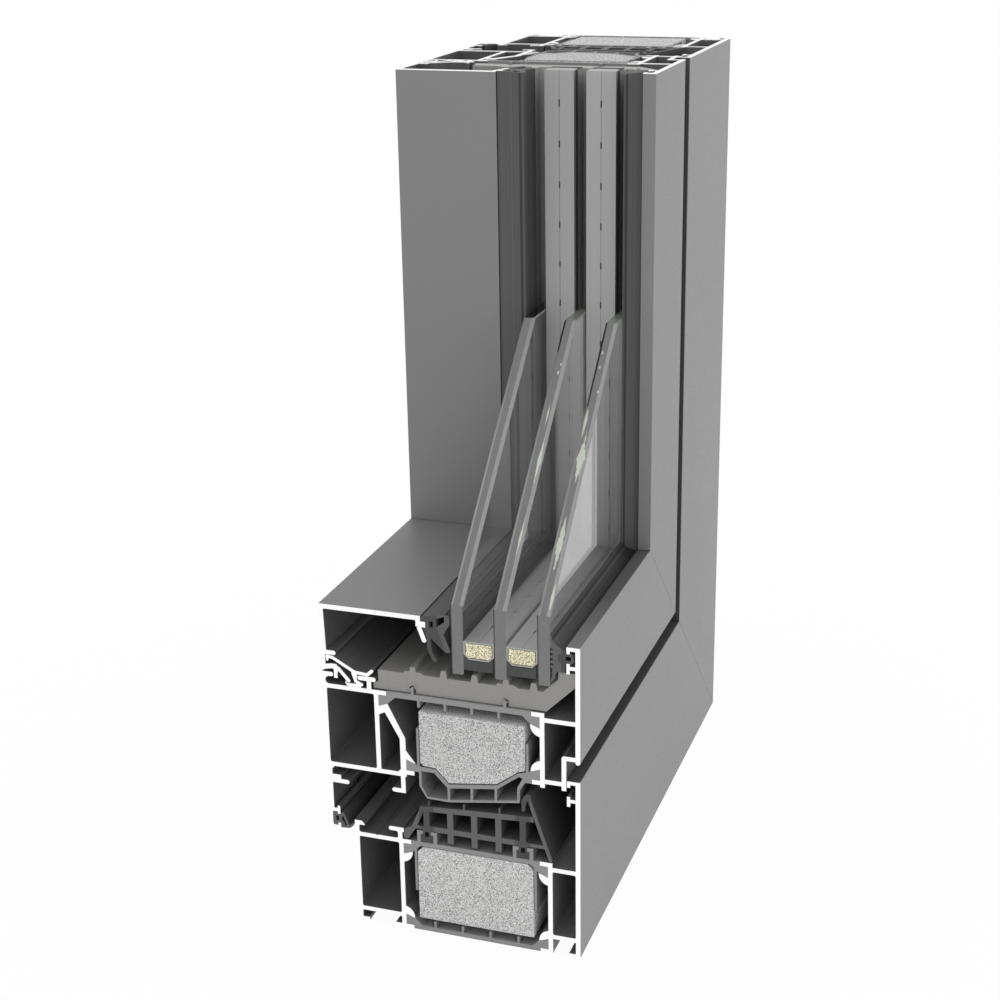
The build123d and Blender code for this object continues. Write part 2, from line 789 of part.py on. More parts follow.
def stop_gasket_section():
    """Rubber stop seal in the foot of the sash leg, lying against the frame."""
    base = sash_base - drop_leg_height
    back = sash_back + leg_pocket_wall + fit
    mouth = sash_back + leg_nub_reach
    low = base + leg_pocket_base
    high = low + leg_pocket_height
    reach = frame_back - foam_gap - mouth

    def tongue_point(share, z):
        """Point at a share of the way from the pocket's mouth to the frame."""
        return (mouth + share * reach, z)

    bulb_width = mouth - leg_nub_width - fit - back
    bulb = Pos(back + bulb_width / 2, (low + high) / 2)
    seal = bulb * RectangleRounded(bulb_width, high - low - 2 * fit, leg_pocket_radius)
    seal += plate(back + 0.8, mouth + 0.6, low + leg_nub_width + fit, high - leg_nub_width - fit)
    seal += shape(
        (mouth + fit, high - 0.7),
        tongue_point(0.06, high - 0.2),
        tongue_point(0.14, high),
        tongue_point(0.22, high - 0.1),
        tongue_point(0.29, high - 0.6),
        tongue_point(0.44, base + 3.6),
        tongue_point(0.58, base + 1.8),
        tongue_point(0.65, base + 1.2),
        tongue_point(0.74, base + 1.3),
        tongue_point(0.86, base + 2.1),
        tongue_point(0.97, base + 2.4),
        tongue_point(1.0, base + 2.0),
        tongue_point(0.92, base + 1.2),
        tongue_point(0.78, base + 0.5),
        tongue_point(0.6, base + 0.2),
        tongue_point(0.24, base),
        (mouth + fit, base),
    )
    hole = RectangleRounded(1.0, high - low - 3.2, 0.4)
    seal -= Pos(mouth - 1.1, (low + high) / 2) * hole
    seal -= shape(
        (mouth + 0.4, high - 1.7),
        tongue_point(0.21, high - 1.7),
        tongue_point(0.34, base + 2.6),
        tongue_point(0.46, base + 0.9),
        tongue_point(0.31, base + 0.8),
        tongue_point(0.24, base + 2.0),
        (mouth + 0.4, base + 2.7),
    )
    return seal


def inner_gasket_section():
    """Rubber glazing seal between the bead and the glass: a grip, a lip on the glass and a long tail."""
    grip = bead_front + bead_lug_reach + fit
    lug_top = bead_top - bead_lug_drop
    lug_base = lug_top - bead_lug_height
    crown = bead_top + inner_crown
    room = glass_inside - foam_gap - grip

    def below(share, drop):
        """Point at a share of the way to the glass and a share of the tail's drop under the lug."""
        return (grip + share * room, lug_base - drop * inner_tail_drop)

    def above(share, z):
        """Point at a share of the way to the glass and at one height."""
        return (grip + share * room, z)

    seal = shape(
        (bead_front + fit, bead_top - 0.3),
        above(0.3, crown - 0.8),
        above(0.8, crown),
        above(0.99, crown - 0.4),
        above(0.99, lug_top - 0.1),
        below(0.85, 0),
        below(0.73, 0.15),
        below(0.86, 0.37),
        below(1.0, 0.6),
        below(0.94, 0.67),
        below(0.76, 0.65),
        below(0.19, 0.28),
        below(0.2, 0.46),
        below(0.26, 0.72),
        below(0.45, 0.9),
        below(0.39, 1.0),
        below(0.27, 0.96),
        below(0.11, 0.74),
        below(0.04, 0.59),
        below(0.05, 0.34),
        below(-0.06, 0.1),
        (grip - 1.0, lug_base - fit),
        (grip, lug_base - fit),
        (grip, lug_top + fit),
        (bead_front + fit, lug_top + fit),
    )
    seal -= plate(grip + 0.16 * room, grip + 0.31 * room, lug_base + 0.2, lug_top + 0.4)
    seal -= shape(
        above(0.45, crown - 1.7),
        above(0.78, crown - 0.7),
        above(0.78, lug_top + 0.6),
        above(0.46, lug_base + 0.6),
    )
    return seal


def outer_gasket_section():
    """Rubber weather seal: a hollow foot in the face groove, ribs and a lip on the glass, a tail below."""
    top = sash_face_top
    hook_back = -face_hook_reach
    slot = hook_back + face_hook_wall
    tee_top = top - face_groove_height + tee_upstand
    hook_low = top - face_hook_drop
    middle = (tee_top + hook_low) / 2
    glass = glass_outside + fit
    head = hook_back - outer_head_gap
    seal = shape(
        (glass, top + weather_lip_height),
        (glass + 0.3, top + weather_lip_height),
        (glass + 0.6, top + 1.8),
        (glass + 1.1, top + 1.0),
        (glass + 2.3, top - 0.2),
        (glass + 3.5, top - 0.8),
        (head, top - 1.0),
        (head, hook_low - fit),
        (slot + fit, hook_low - fit),
        (slot + fit, hook_low + 0.4),
        (slot + 1.1, middle + 1.4),
        (slot + 1.3, middle),
        (slot + 1.1, middle - 1.4),
        (slot + fit, tee_top - 0.4),
        (slot + fit, tee_top + fit),
        (head, tee_top + fit),
        (head, arm_top() + 0.5),
        (glass + 2.2, arm_top() + 0.4),
        (glass + 1.7, arm_top() - 0.5),
        (glass + 1.5, arm_top() - 1.8),
        (glass + 0.5, arm_top() - outer_tail_drop),
        (glass + 0.1, arm_top() - outer_tail_drop),
        (glass + 0.6, top - 10.0),
        (glass + 0.7, top - 7.6),
        (glass, top - 7.2),
    )
    seal -= plate(slot - 1.3, slot + 0.4, middle - 0.65, middle + 0.65)
    for number in range(4):
        pit = top - 1.3 - number * outer_rib_spacing
        seal -= shape(
            (glass - 0.2, pit + 0.5),
            (glass + 0.7, pit + 0.3),
            (glass + 1.0, pit),
            (glass + 0.7, pit - 0.3),
            (glass - 0.2, pit - 0.5),
        )
    return seal


def arm_top():
    """Height of the bridge's arm, just under the tee of the face groove."""
    return sash_face_top - face_groove_height + tee_upstand - face_tee_height - fit


def glazing_bridge_section():
    """Plastic bridge on the sash bar, with ridges under the panes and an arm to the outside face."""
    base = sash_top + bar_upstand + bridge_lift
    back = sash_back + tee_inset + tee_width + 0.6
    top = base + bridge_height
    arm = -wall - fit
    ridge_height = glass_edge - fit
    slope_foot = glass_outside - (ridge_height - top) - fit
    slope_head = arm - bridge_arm_reach
    bridge = shape(
        (back, base),
        (arm - bridge_arm_rise, base),
        (arm, base + bridge_arm_rise),
        (arm, arm_top()),
        (slope_head, arm_top()),
        (slope_head, top + slope_head - slope_foot),
        (slope_foot, top),
        (back, top),
    )
    bridge += plate(back - bridge_nose, back + 1, base, sash_top + seat_lip_height - wall - fit)
    first = sash_neck_front + 11.7
    ridges = [first + number * ridge_pitch for number in range(4)] + [first + 4 * ridge_pitch - 1.3]
    for ridge in ridges:
        bridge += shape(
            (ridge - ridge_base / 2, top - 1),
            (ridge + ridge_base / 2, top - 1),
            (ridge + ridge_base / 2, top + 0.4),
            (ridge + ridge_top / 2, ridge_height),
            (ridge - ridge_top / 2, ridge_height),
            (ridge - ridge_base / 2, top + 0.4),
        )
    for ridge in (ridges[0], ridges[3]):
        bridge += shape(
            (ridge - shoulder_reach, top - 1),
            (ridge + shoulder_reach + shoulder_height, top - 1),
            (ridge + shoulder_reach + shoulder_height, top),
            (ridge + shoulder_reach - shoulder_height, top + shoulder_height),
            (ridge - shoulder_reach + shoulder_height / 2, top + shoulder_height),
            (ridge - shoulder_reach, top),
        )
    slot_low = sash_top
    slot_high = sash_top + bar_upstand + bridge_barb_height
    half = rib_thickness / 2
    for barb, side in bridge_barbs():
        back = barb - side * (half + fit)
        nose = barb + side * (half + barb_hook + fit)
        bridge -= plate(barb - half - fit, barb + half + barb_hook, slot_low, slot_high - barb_head)
        bridge -= shape(
            (back, slot_high - barb_head - fit),
            (nose, slot_high - barb_head - fit),
            (nose, slot_high - barb_head / 2),
            (barb, slot_high + fit),
            (back, slot_high + fit),
        )
    return bridge


def spacer_outline(inner):
    """Outside of the spacer bar between two panes, whose room-side face is at the given depth."""
    base = glass_edge + spacer_rise
    left = inner + fit
    right = inner + cavity_width - fit
    return shape(
        (left + spacer_chamfer, base),
        (right - spacer_chamfer, base),
        (right, base + spacer_chamfer),
        (right, base + spacer_height),
        (left, base + spacer_height),
        (left, base + spacer_chamfer),
    )


def spacer_section(inner):
    """Thin metal tube that keeps two panes apart."""
    outline = spacer_outline(inner)
    return outline - offset(outline, -spacer_wall, kind=Kind.INTERSECTION)


def spacer_slots(inner, length):
    """Row of short slots through which the grains dry the air between the panes, on one leg."""
    crown = glass_edge + spacer_rise + spacer_height
    first = crown + spacer_slot_start
    count = int((length - spacer_wall - spacer_slot_length - first) / spacer_slot_pitch) + 1
    slot = Box(spacer_slot_width, spacer_slot_length, 2 * spacer_wall + fit)
    places = [sill_length - first - number * spacer_slot_pitch for number in range(count)]
    return [Pos(inner + cavity_width / 2, place, crown) * slot for place in places]


def desiccant_section(inner):
    """Drying grains that fill the spacer."""
    return offset(spacer_outline(inner), -spacer_wall - fit, kind=Kind.INTERSECTION)


def sealant_section(inner):
    """Edge seal behind the spacer, from pane to pane."""
    base = glass_edge + spacer_rise - fit
    left = inner + fit
    right = inner + cavity_width - fit
    return shape(
        (left, base - sealant_depth),
        (right, base - sealant_depth),
        (right, base + spacer_chamfer),
        (right - spacer_chamfer, base),
        (left + spacer_chamfer, base),
        (left, base + spacer_chamfer),
    )


# Placing: each leg runs to the mitre, and the jamb is the sill's section mirrored in the mitre plane
corner = (0, sill_length, 0)
section_plane = Plane(origin=corner, x_dir=(1, 0, 0), z_dir=(0, -1, 0))
mitre = Plane(origin=corner, x_dir=(1, 0, 0), z_dir=(0, 1, 1))
model_origin = Pos(sash_depth / 2, -sill_length / 2, 0)


def leg(section, length, gap):
    """One length of profile, cut to 45 degrees at the corner."""
    stock = extrude(section_plane * section, amount=length)
    return split(stock, bisect_by=mitre.offset(-gap / 2), keep=Keep.BOTTOM)


def bent(sill_leg, jamb_leg):
    """One piece from a sill leg and a jamb leg that is drawn as a sill leg."""
    return sill_leg + mirror(jamb_leg, about=mitre)


def pane(inner):
    """Sheet of glass, cut back in a slope so that the corner behind it shows."""
    end = sill_length - glass_edge
    bend = glass_edge + glass_front_rise
    top = bend + glass_cut_rise
    outline = shape((0, glass_edge), (end, glass_edge), (end, top), (glass_cut_run, top), (0, bend))
    room_side = Plane(origin=(inner, 0, 0), x_dir=(0, 1, 0), z_dir=(1, 0, 0))
    sheet = extrude(room_side * outline, amount=pane_thickness)
    faces = sheet.faces().sort_by(Axis.X)
    edges = faces[0].edges() + faces[-1].edges()
    far_edges = edges.filter_by(Axis.Z).sort_by(Axis.Y)[-2:]
    sheet = chamfer(edges.filter_by(Axis.Y) + far_edges, glass_arris)
    across = Plane(origin=(inner, 0, bend), x_dir=(1, 0, 0), z_dir=(0, glass_cut_run, glass_cut_rise))
    for side, inward in ((0, 1), (pane_thickness, -1)):
        bevel = shape((side, 0), (side + inward * glass_slope_arris, 0), (side, glass_slope_arris))
        sheet -= extrude(across * bevel, amount=hypot(glass_cut_run, glass_cut_rise) + glass_slope_arris)
    return sheet


def save(name, solid):
    """Writes one piece to its own file, in the model's frame."""
    export_step(model_origin * solid, "parts/" + name + ".step")


os.makedirs("parts", exist_ok=True)

profiles = {
    "frame_inner": frame_inner_section(),
    "frame_outer": frame_outer_section(),
    "frame_bar_upper": frame_bar_upper_section(),
    "frame_bar_lower": frame_bar_lower_section(),
    "frame_foam": frame_foam_section(),
    "sash_inner": sash_inner_section(),
    "sash_outer": sash_outer_section(),
    "sash_bar_upper": sash_bar_upper_section(),
    "sash_bar_chambered": sash_bar_chambered_section(),
    "sash_foam": sash_foam_section(),
    "glazing_bead": glazing_bead_section(),
    "bead_clip": bead_clip_section(),
    "glazing_bridge": glazing_bridge_section(),
    "inner_gasket": inner_gasket_section(),
    "outer_gasket": outer_gasket_section(),
    "centre_gasket": centre_gasket_section(),
    "stop_gasket": stop_gasket_section(),
}
for name, section in profiles.items():
    setback = bridge_setback if name == "glazing_bridge" else 0
    save(name + "_sill", leg(section, sill_length - setback, mitre_gap))
    save(name + "_jamb", mirror(leg(section, jamb_height - setback, mitre_gap), about=mitre))

pane_step = pane_thickness + cavity_width
for number, side in enumerate(("inner", "middle", "outer")):
    save("pane_" + side, pane(glass_inside + number * pane_step))

cap_start = jamb_height - spacer_wall
for number, side in enumerate(("inner", "outer")):
    cavity = glass_inside + pane_thickness + number * pane_step
    tube = spacer_section(cavity)
    cap = extrude(section_plane.offset(cap_start) * spacer_outline(cavity), amount=spacer_wall)
    sill_tube = leg(tube, sill_length, 0) - spacer_slots(cavity, sill_length)
    jamb_tube = leg(tube, jamb_height, 0) - spacer_slots(cavity, jamb_height) + cap
    save("spacer_" + side, bent(sill_tube, jamb_tube))
    grains = desiccant_section(cavity)
    save("desiccant_" + side, bent(leg(grains, sill_length, 0), leg(grains, cap_start - fit, 0)))
    seal = sealant_section(cavity)
    save("sealant_" + side, bent(leg(seal, sill_length, 0), leg(seal, jamb_height, 0)))
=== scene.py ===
import bpy
from mathutils import Matrix, Vector


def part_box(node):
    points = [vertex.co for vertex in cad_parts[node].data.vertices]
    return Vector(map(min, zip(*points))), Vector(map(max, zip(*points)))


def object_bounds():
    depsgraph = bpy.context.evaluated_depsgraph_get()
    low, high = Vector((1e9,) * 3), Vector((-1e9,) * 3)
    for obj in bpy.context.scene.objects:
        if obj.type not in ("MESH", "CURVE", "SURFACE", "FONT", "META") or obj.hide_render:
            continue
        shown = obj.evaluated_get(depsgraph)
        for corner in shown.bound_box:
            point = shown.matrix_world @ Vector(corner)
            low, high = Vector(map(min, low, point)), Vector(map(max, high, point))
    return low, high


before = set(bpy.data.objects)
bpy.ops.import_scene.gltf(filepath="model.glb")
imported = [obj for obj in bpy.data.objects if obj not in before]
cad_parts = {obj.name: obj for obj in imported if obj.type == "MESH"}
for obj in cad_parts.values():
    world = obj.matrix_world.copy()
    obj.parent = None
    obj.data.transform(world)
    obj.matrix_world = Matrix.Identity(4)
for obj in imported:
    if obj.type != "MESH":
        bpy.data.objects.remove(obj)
cad_low, cad_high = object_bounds()

# The photograph's point of view.
# The eye stands in front of the sill's cut end, a little to the weather side and above the jamb,
# and looks down along the sill. Its place and lens come from the straight edges of the picture.
eye = Vector((0.18523, -0.5731, 0.33754))
look = Vector((-0.31068, 0.88716, -0.34123))
right = Vector((0.9456, 0.32491, -0.0162))
rise = Vector((-0.0965, 0.3277, 0.93984))
lens = 65.217
film_width = 36.0
nearest_seen = 0.01
bpy.ops.object.camera_add()
camera = bpy.context.object
camera.matrix_world = Matrix.Translation(eye) @ Matrix((right, rise, -look)).transposed().to_4x4()
camera.data.lens = lens
camera.data.sensor_width = film_width
camera.data.clip_start = nearest_seen
bpy.context.scene.camera = camera
bpy.context.scene.view_settings.view_transform = "Standard"

# The studio.
# A broad pale floor runs out past the picture on every side, and the sample stands on it.
# The air round it is white and gives an even soft light, and a box on the weather side lifts that side.
floor_reach = 30.0
floor_drop = 0.0002
floor_glow = 0.95
floor_paper = (0.95, 0.95, 0.95, 1)
pure_white = (1, 1, 1, 1)
box_place = Vector((1.6, 1.2, 0.12))
box_aim = Vector((0, 0, 0.1))
box_size = 1.2
box_watts = 12.0


def bare_tree(owner):
    """The nodes of a material or of the air, emptied."""
    owner.use_nodes = True
    owner.node_tree.nodes.clear()
    return owner.node_tree


bpy.ops.mesh.primitive_plane_add(size=floor_reach, location=(0, 0, cad_low.z - floor_drop))
floor = bpy.context.object
floor.name = "studio_floor"

# The floor shows white to the eye, in gloss and through glass, and only its paper lights the sample.
pale_floor = bpy.data.materials.new("pale_floor")
tree = bare_tree(pale_floor)
paper = tree.nodes.new("ShaderNodeBsdfDiffuse")
paper.inputs["Color"].default_value = floor_paper
glow = tree.nodes.new("ShaderNodeEmission")
glow.inputs["Color"].default_value = pure_white
rays = tree.nodes.new("ShaderNodeLightPath").outputs
seen = rays["Is Camera Ray"]
for kind in ("Is Glossy Ray", "Is Transmission Ray"):
    larger = tree.nodes.new("ShaderNodeMath")
    larger.operation = "MAXIMUM"
    tree.links.new(seen, larger.inputs[0])
    tree.links.new(rays[kind], larger.inputs[1])
    seen = larger.outputs[0]
share = tree.nodes.new("ShaderNodeMath")
share.operation = "MULTIPLY"
tree.links.new(seen, share.inputs[0])
share.inputs[1].default_value = floor_glow
blend = tree.nodes.new("ShaderNodeMixShader")
surface = tree.nodes.new("ShaderNodeOutputMaterial")
tree.links.new(share.outputs[0], blend.inputs[0])
tree.links.new(paper.outputs[0], blend.inputs[1])
tree.links.new(glow.outputs[0], blend.inputs[2])
tree.links.new(blend.outputs[0], surface.inputs["Surface"])
pale_floor.cycles.emission_sampling = "NONE"
floor.data.materials.append(pale_floor)

air = bpy.data.worlds.new("studio_air")
bpy.context.scene.world = air
tree = bare_tree(air)
white = tree.nodes.new("ShaderNodeBackground")
white.inputs["Color"].default_value = pure_white
surface = tree.nodes.new("ShaderNodeOutputWorld")
tree.links.new(white.outputs[0], surface.inputs["Surface"])

bpy.ops.object.light_add(type="AREA", location=box_place)
weather_box = bpy.context.object
weather_box.name = "weather_box"
weather_box.data.size = box_size
weather_box.data.energy = box_watts
weather_box.rotation_euler = (box_aim - box_place).to_track_quat("-Z", "Y").to_euler()
weather_box.visible_glossy = False
weather_box.visible_transmission = False

# Metal shells of the frame and the sash.
# Four hollow aluminium extrusions make the room side and the weather side of the frame and of the sash.
# Their outsides are powder coated in mid grey, the hollows carry painted shade, and the sawn ends are
# bright.
cut_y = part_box("frame_outer_sill")[0].y
back_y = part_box("frame_outer_jamb")[1].y
top_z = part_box("frame_outer_jamb")[1].z
weather_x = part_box("frame_outer_sill")[1].x
room_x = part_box("sash_inner_sill")[0].x
frame_room_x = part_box("frame_inner_sill")[0].x
frame_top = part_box("frame_outer_sill")[1].z
sash_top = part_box("sash_outer_sill")[1].z
skin = 0.0002
corner_run = 0.042
mouth_depth = 0.03

# The open joint between the two weather faces, at the top of the frame's shell, whose faces are painted dark
# as shade
joint_back_x = weather_x - 0.0048
joint_low = frame_top - 0.005
joint_high = frame_top + 0.009

coat_grey = (0.2, 0.2, 0.202, 1)
joint_painted_shade = (0.065, 0.065, 0.065, 1)
saw_bright = (1.0, 1.0, 1.0, 1)

# Lumps or lines to the metre, the tones between which they vary, and the height of the coat's relief
powder_grain = 2600.0
powder_tones = (0.97, 1.03)
powder_drift = 14.0
drift_tones = (0.98, 1.02)
powder_gloss = 900.0
powder_roughness = (0.42, 0.5)
powder_peel = 3500.0
peel_height = 0.00002
shell_die_lines = 900.0
shell_line_tones = (0.96, 1.04)
saw_lines = 3200.0
saw_line_stretch = 140.0
saw_tones = (0.985, 1.0)


def grey(tone):
    """A neutral colour of one tone."""
    return (tone, tone, tone, 1)


class Finish:
    """A finish under way: one shader, and the place of a point as x, y, z and section height."""

    # Most soft noise lies between these values.
    noise_low = 0.3
    noise_high = 0.7

    # Where a mix of colours keeps its colour sockets
    first_colour = 6
    second_colour = 7
    mixed_colour = 2

    def __init__(self, name):
        self.material = bpy.data.materials.new(name)
        self.tree = bare_tree(self.material)
        self.shader = self.tree.nodes.new("ShaderNodeBsdfPrincipled")
        surface = self.tree.nodes.new("ShaderNodeOutputMaterial")
        self.link(self.shader.outputs["BSDF"], surface.inputs["Surface"])
        self.place = self.tree.nodes.new("ShaderNodeTexCoord").outputs["Object"]
        self.x, self.y, self.z = self.split(self.place)
        self.height = self.maths("MINIMUM", self.z, self.maths("SUBTRACT", back_y, self.y))

    def link(self, source, socket):
        """Joins an output to a socket, or writes a plain value on the socket."""
        if isinstance(source, bpy.types.NodeSocket):
            self.tree.links.new(source, socket)
        else:
            socket.default_value = source

    def split(self, vector):
        """The x, y and z of a vector."""
        node = self.tree.nodes.new("ShaderNodeSeparateXYZ")
        self.link(vector, node.inputs[0])
        return node.outputs

    def vector(self, x, y, z):
        """Three numbers or outputs as one vector."""
        node = self.tree.nodes.new("ShaderNodeCombineXYZ")
        for value, socket in zip((x, y, z), node.inputs):
            self.link(value, socket)
        return node.outputs[0]

    def maths(self, operation, first, second=0.0):
        """A piece of arithmetic on two numbers or outputs."""
        node = self.tree.nodes.new("ShaderNodeMath")
        node.operation = operation
        self.link(first, node.inputs[0])
        self.link(second, node.inputs[1])
        return node.outputs[0]

    def times(self, *factors):
        """The product of numbers or outputs."""
        product = factors[0]
        for factor in factors[1:]:
            product = self.maths("MULTIPLY", product, factor)
        return product

    def range(self, value, low, high, new_low, new_high):
        """Moves a value from one range to another and stops at its ends."""
        node = self.tree.nodes.new("ShaderNodeMapRange")
        for number, part in enumerate((value, low, high, new_low, new_high)):
            self.link(part, node.inputs[number])
        return node.outputs[0]

    def spread(self, noise, low, high):
        """Moves soft noise to a range of tones."""
        return self.range(noise, self.noise_low, self.noise_high, low, high)

    def below(self, value, limit):
        """A mask: one where the value is under the limit."""
        return self.maths("LESS_THAN", value, limit)

    def above(self, value, limit):
        """A mask: one where the value is over the limit."""
        return self.maths("GREATER_THAN", value, limit)

    def away_from(self, value, middle):
        """How far the value is from the middle, either way."""
        return self.maths("ABSOLUTE", self.maths("SUBTRACT", value, middle))

    def beside(self, value, middle, reach):
        """A mask: one where the value is within reach of the middle."""
        return self.below(self.away_from(value, middle), reach)

    def either(self, *masks):
        """A mask: one where any of the masks is one."""
        total = masks[0]
        for mask in masks[1:]:
            total = self.maths("MAXIMUM", total, mask)
        return total

    def both(self, *masks):
        """A mask: one where all of the masks are one."""
        return self.times(*masks)

    def outside(self, mask):
        """A mask: one where the other is nought."""
        return self.below(mask, 0.5)

    def cut_ends(self):
        """A mask: one on the sawn end of the sill and on the sawn top of the jamb."""
        return self.either(self.below(self.y, cut_y + skin), self.above(self.z, top_z - skin))

    def on_the_sill(self):
        """A mask: one on the sill's side of the mitre."""
        return self.below(self.z, self.maths("SUBTRACT", back_y, self.y))

    def sill_run(self, at_the_end, near_the_corner):
        """A factor for painted shade: one on the jamb, and on the sill going from one value at the sawn end
        to another near the corner.
        """
        run = self.range(self.y, cut_y, cut_y + corner_run, at_the_end, near_the_corner)
        return self.maths("ADD", 1.0, self.both(self.on_the_sill(), self.maths("SUBTRACT", run, 1.0)))

    def depth_inside(self):
        """Distance along the profile from the nearer sawn end."""
        from_sill = self.maths("SUBTRACT", self.y, cut_y)
        return self.maths("MINIMUM", from_sill, self.maths("SUBTRACT", top_z, self.z))

    def stretch(self, x, y, z):
        """The place of a point, stretched by so much along each axis."""
        node = self.tree.nodes.new("ShaderNodeMapping")
        self.link(self.place, node.inputs["Vector"])
        node.inputs["Scale"].default_value = (x, y, z)
        return node.outputs[0]

    def cloud(self, scale, detail=2.0, vector=None):
        """Soft noise from nought to one, so many lumps to the metre."""
        node = self.tree.nodes.new("ShaderNodeTexNoise")
        self.link(vector or self.place, node.inputs["Vector"])
        node.inputs["Scale"].default_value = scale
        node.inputs["Detail"].default_value = detail
        return node.outputs[0]

    def die_lines(self, pitch):
        """Noise that is the same all along a profile, as the die draws it, so many lines to the metre."""
        across = self.vector(self.times(self.x, pitch), self.times(self.height, pitch), 0.0)
        return self.cloud(1.0, detail=3.0, vector=across)

    def grains(self, scale):
        """Distance from the middle of the nearest grain, so many grains to the metre."""
        node = self.tree.nodes.new("ShaderNodeTexVoronoi")
        self.link(self.place, node.inputs["Vector"])
        node.inputs["Scale"].default_value = scale
        return node.outputs["Distance"]

    def tint(self, factor, first, second):
        """Mix of two colours."""
        node = self.tree.nodes.new("ShaderNodeMix")
        node.data_type = "RGBA"
        self.link(factor, node.inputs["Factor"])
        self.link(first, node.inputs[self.first_colour])
        self.link(second, node.inputs[self.second_colour])
        return node.outputs[self.mixed_colour]

    def shade(self, colour, factor):
        """A colour made lighter or darker by a factor."""
        node = self.tree.nodes.new("ShaderNodeVectorMath")
        node.operation = "SCALE"
        self.link(colour[:3] if isinstance(colour, tuple) else colour, node.inputs[0])
        self.link(factor, node.inputs["Scale"])
        return node.outputs[0]

    def set(self, **values):
        """Writes values or outputs on the shader's own sockets, named in small letters."""
        for name, value in values.items():
            self.link(value, self.shader.inputs[name.replace("_", " ").title().replace("Ior", "IOR")])

    def bump(self, height, depth, strength=0.5):
        """Relief of so many metres."""
        node = self.tree.nodes.new("ShaderNodeBump")
        node.inputs["Distance"].default_value = depth
        node.inputs["Strength"].default_value = strength
        self.link(height, node.inputs["Height"])
        self.link(node.outputs[0], self.shader.inputs["Normal"])


def dress(finish, *names):
    """Gives the finish to CAD pieces."""
    for name in names:
        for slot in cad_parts[name].material_slots:
            slot.material = finish.material


def both_legs(*names):
    """The sill's piece and the jamb's piece of each profile."""
    return [name + leg for name in names for leg in ("_sill", "_jamb")]


def coated_shell(name, mouth_painted_shade, deep_painted_light, room=None, weather=None, top=None, top_painted_shades=(1.0, 1.0)):
    """Powder coat on the outside, painted shade and light inside the hollows, and bright on the sawn ends.

    The outside is given as the x of the room face, the x of the weather face and the height of the top.
    The hollows have a tone of painted shade at their mouth and one of painted light deep inside. The top
    shades are painted shade on the top along the sill, at the sawn end and near the corner.
    """
    coat = Finish(name)
    painted = []
    if room is not None:
        painted.append(coat.below(coat.x, room + skin))
    if weather is not None:
        painted.append(coat.above(coat.x, weather - skin))
    if top is not None:
        painted.append(coat.above(coat.height, top - skin))
    grain = coat.spread(coat.cloud(powder_grain), *powder_tones)
    drift = coat.spread(coat.cloud(powder_drift), *drift_tones)
    paint = coat.shade(coat_grey, coat.times(grain, drift))
    # Painted shade: off the weather face the coat darkens along the sill towards the corner, by the top
    # shades.
    off_the_face = coat.below(coat.x, weather_x - skin)
    paint = coat.tint(off_the_face, paint, coat.shade(paint, coat.sill_run(*top_painted_shades)))

    # Painted shade and light: the hollows are dark at their mouth and paler deep inside, where the light
    # hardly reaches.
    hollow_painted_shade_and_light = coat.range(coat.depth_inside(), 0.0, mouth_depth, mouth_painted_shade, deep_painted_light)
    drawn = coat.spread(coat.die_lines(shell_die_lines), *shell_line_tones)
    hollow = coat.shade(coat.vector(hollow_painted_shade_and_light, hollow_painted_shade_and_light, hollow_painted_shade_and_light), drawn)
    beside_the_joint = coat.both(coat.above(coat.height, joint_low), coat.below(coat.height, joint_high))
    in_the_joint = coat.both(coat.above(coat.x, joint_back_x), beside_the_joint)
    # Painted shade in the open joint between the weather faces.
    hollow = coat.tint(in_the_joint, hollow, joint_painted_shade)

    sawn = coat.cloud(1.0, vector=coat.stretch(saw_line_stretch, saw_lines, saw_lines))
    bright = coat.shade(saw_bright, coat.spread(sawn, *saw_tones))
    ends = coat.cut_ends()
    colour = coat.tint(coat.either(*painted), hollow, paint)
    coat.set(base_color=coat.tint(ends, colour, bright), metallic=ends, specular_ior_level=0.4)
    coat.set(roughness=coat.spread(coat.cloud(powder_gloss), *powder_roughness))
    coat.bump(coat.cloud(powder_peel, detail=1.0), peel_height)
    return coat


frame_room_coat = coated_shell("frame_room_coat", mouth_painted_shade=0.1, deep_painted_light=0.26, room=frame_room_x)
dress(frame_room_coat, *both_legs("frame_inner"))
frame_weather_coat = coated_shell("frame_weather_coat", mouth_painted_shade=0.13, deep_painted_light=0.42, weather=weather_x)
dress(frame_weather_coat, *both_legs("frame_outer"))
sash_room_coat = coated_shell("sash_room_coat", mouth_painted_shade=0.1, deep_painted_light=0.28, room=room_x)
dress(sash_room_coat, *both_legs("sash_inner"))
# Painted shade: the top of the sash darkens along the sill towards the corner.
sash_weather_coat = coated_shell(
    "sash_weather_coat", mouth_painted_shade=0.12, deep_painted_light=0.36,
    weather=weather_x, top=sash_top, top_painted_shades=(0.84, 0.44),
)
dress(sash_weather_coat, *both_legs("sash_outer"))

# Glazing bead.
# A thin extrusion of the same coated aluminium, snapped onto the sash from the room side.
# It presses the inner seal against the glass.
bead_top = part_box("glazing_bead_sill")[1].z
bead_coat = coated_shell("bead_coat", mouth_painted_shade=0.1, deep_painted_light=0.25, room=room_x, top=bead_top)
dress(bead_coat, *both_legs("glazing_bead"))

# Bead clip.
# A strip of mill-finish aluminium, bent to a spring and pushed in between the bead and its seat.
# Its cut ends are bright, and its rolled sides, which lie in the dark, carry painted shade.
clip_side_painted_shade = grey(0.13)
clip_lines = 1500.0
clip_line_tones = (0.85, 1.15)
clip_line_height = 0.00002

clip = Finish("clip_metal")
drawn = clip.die_lines(clip_lines)
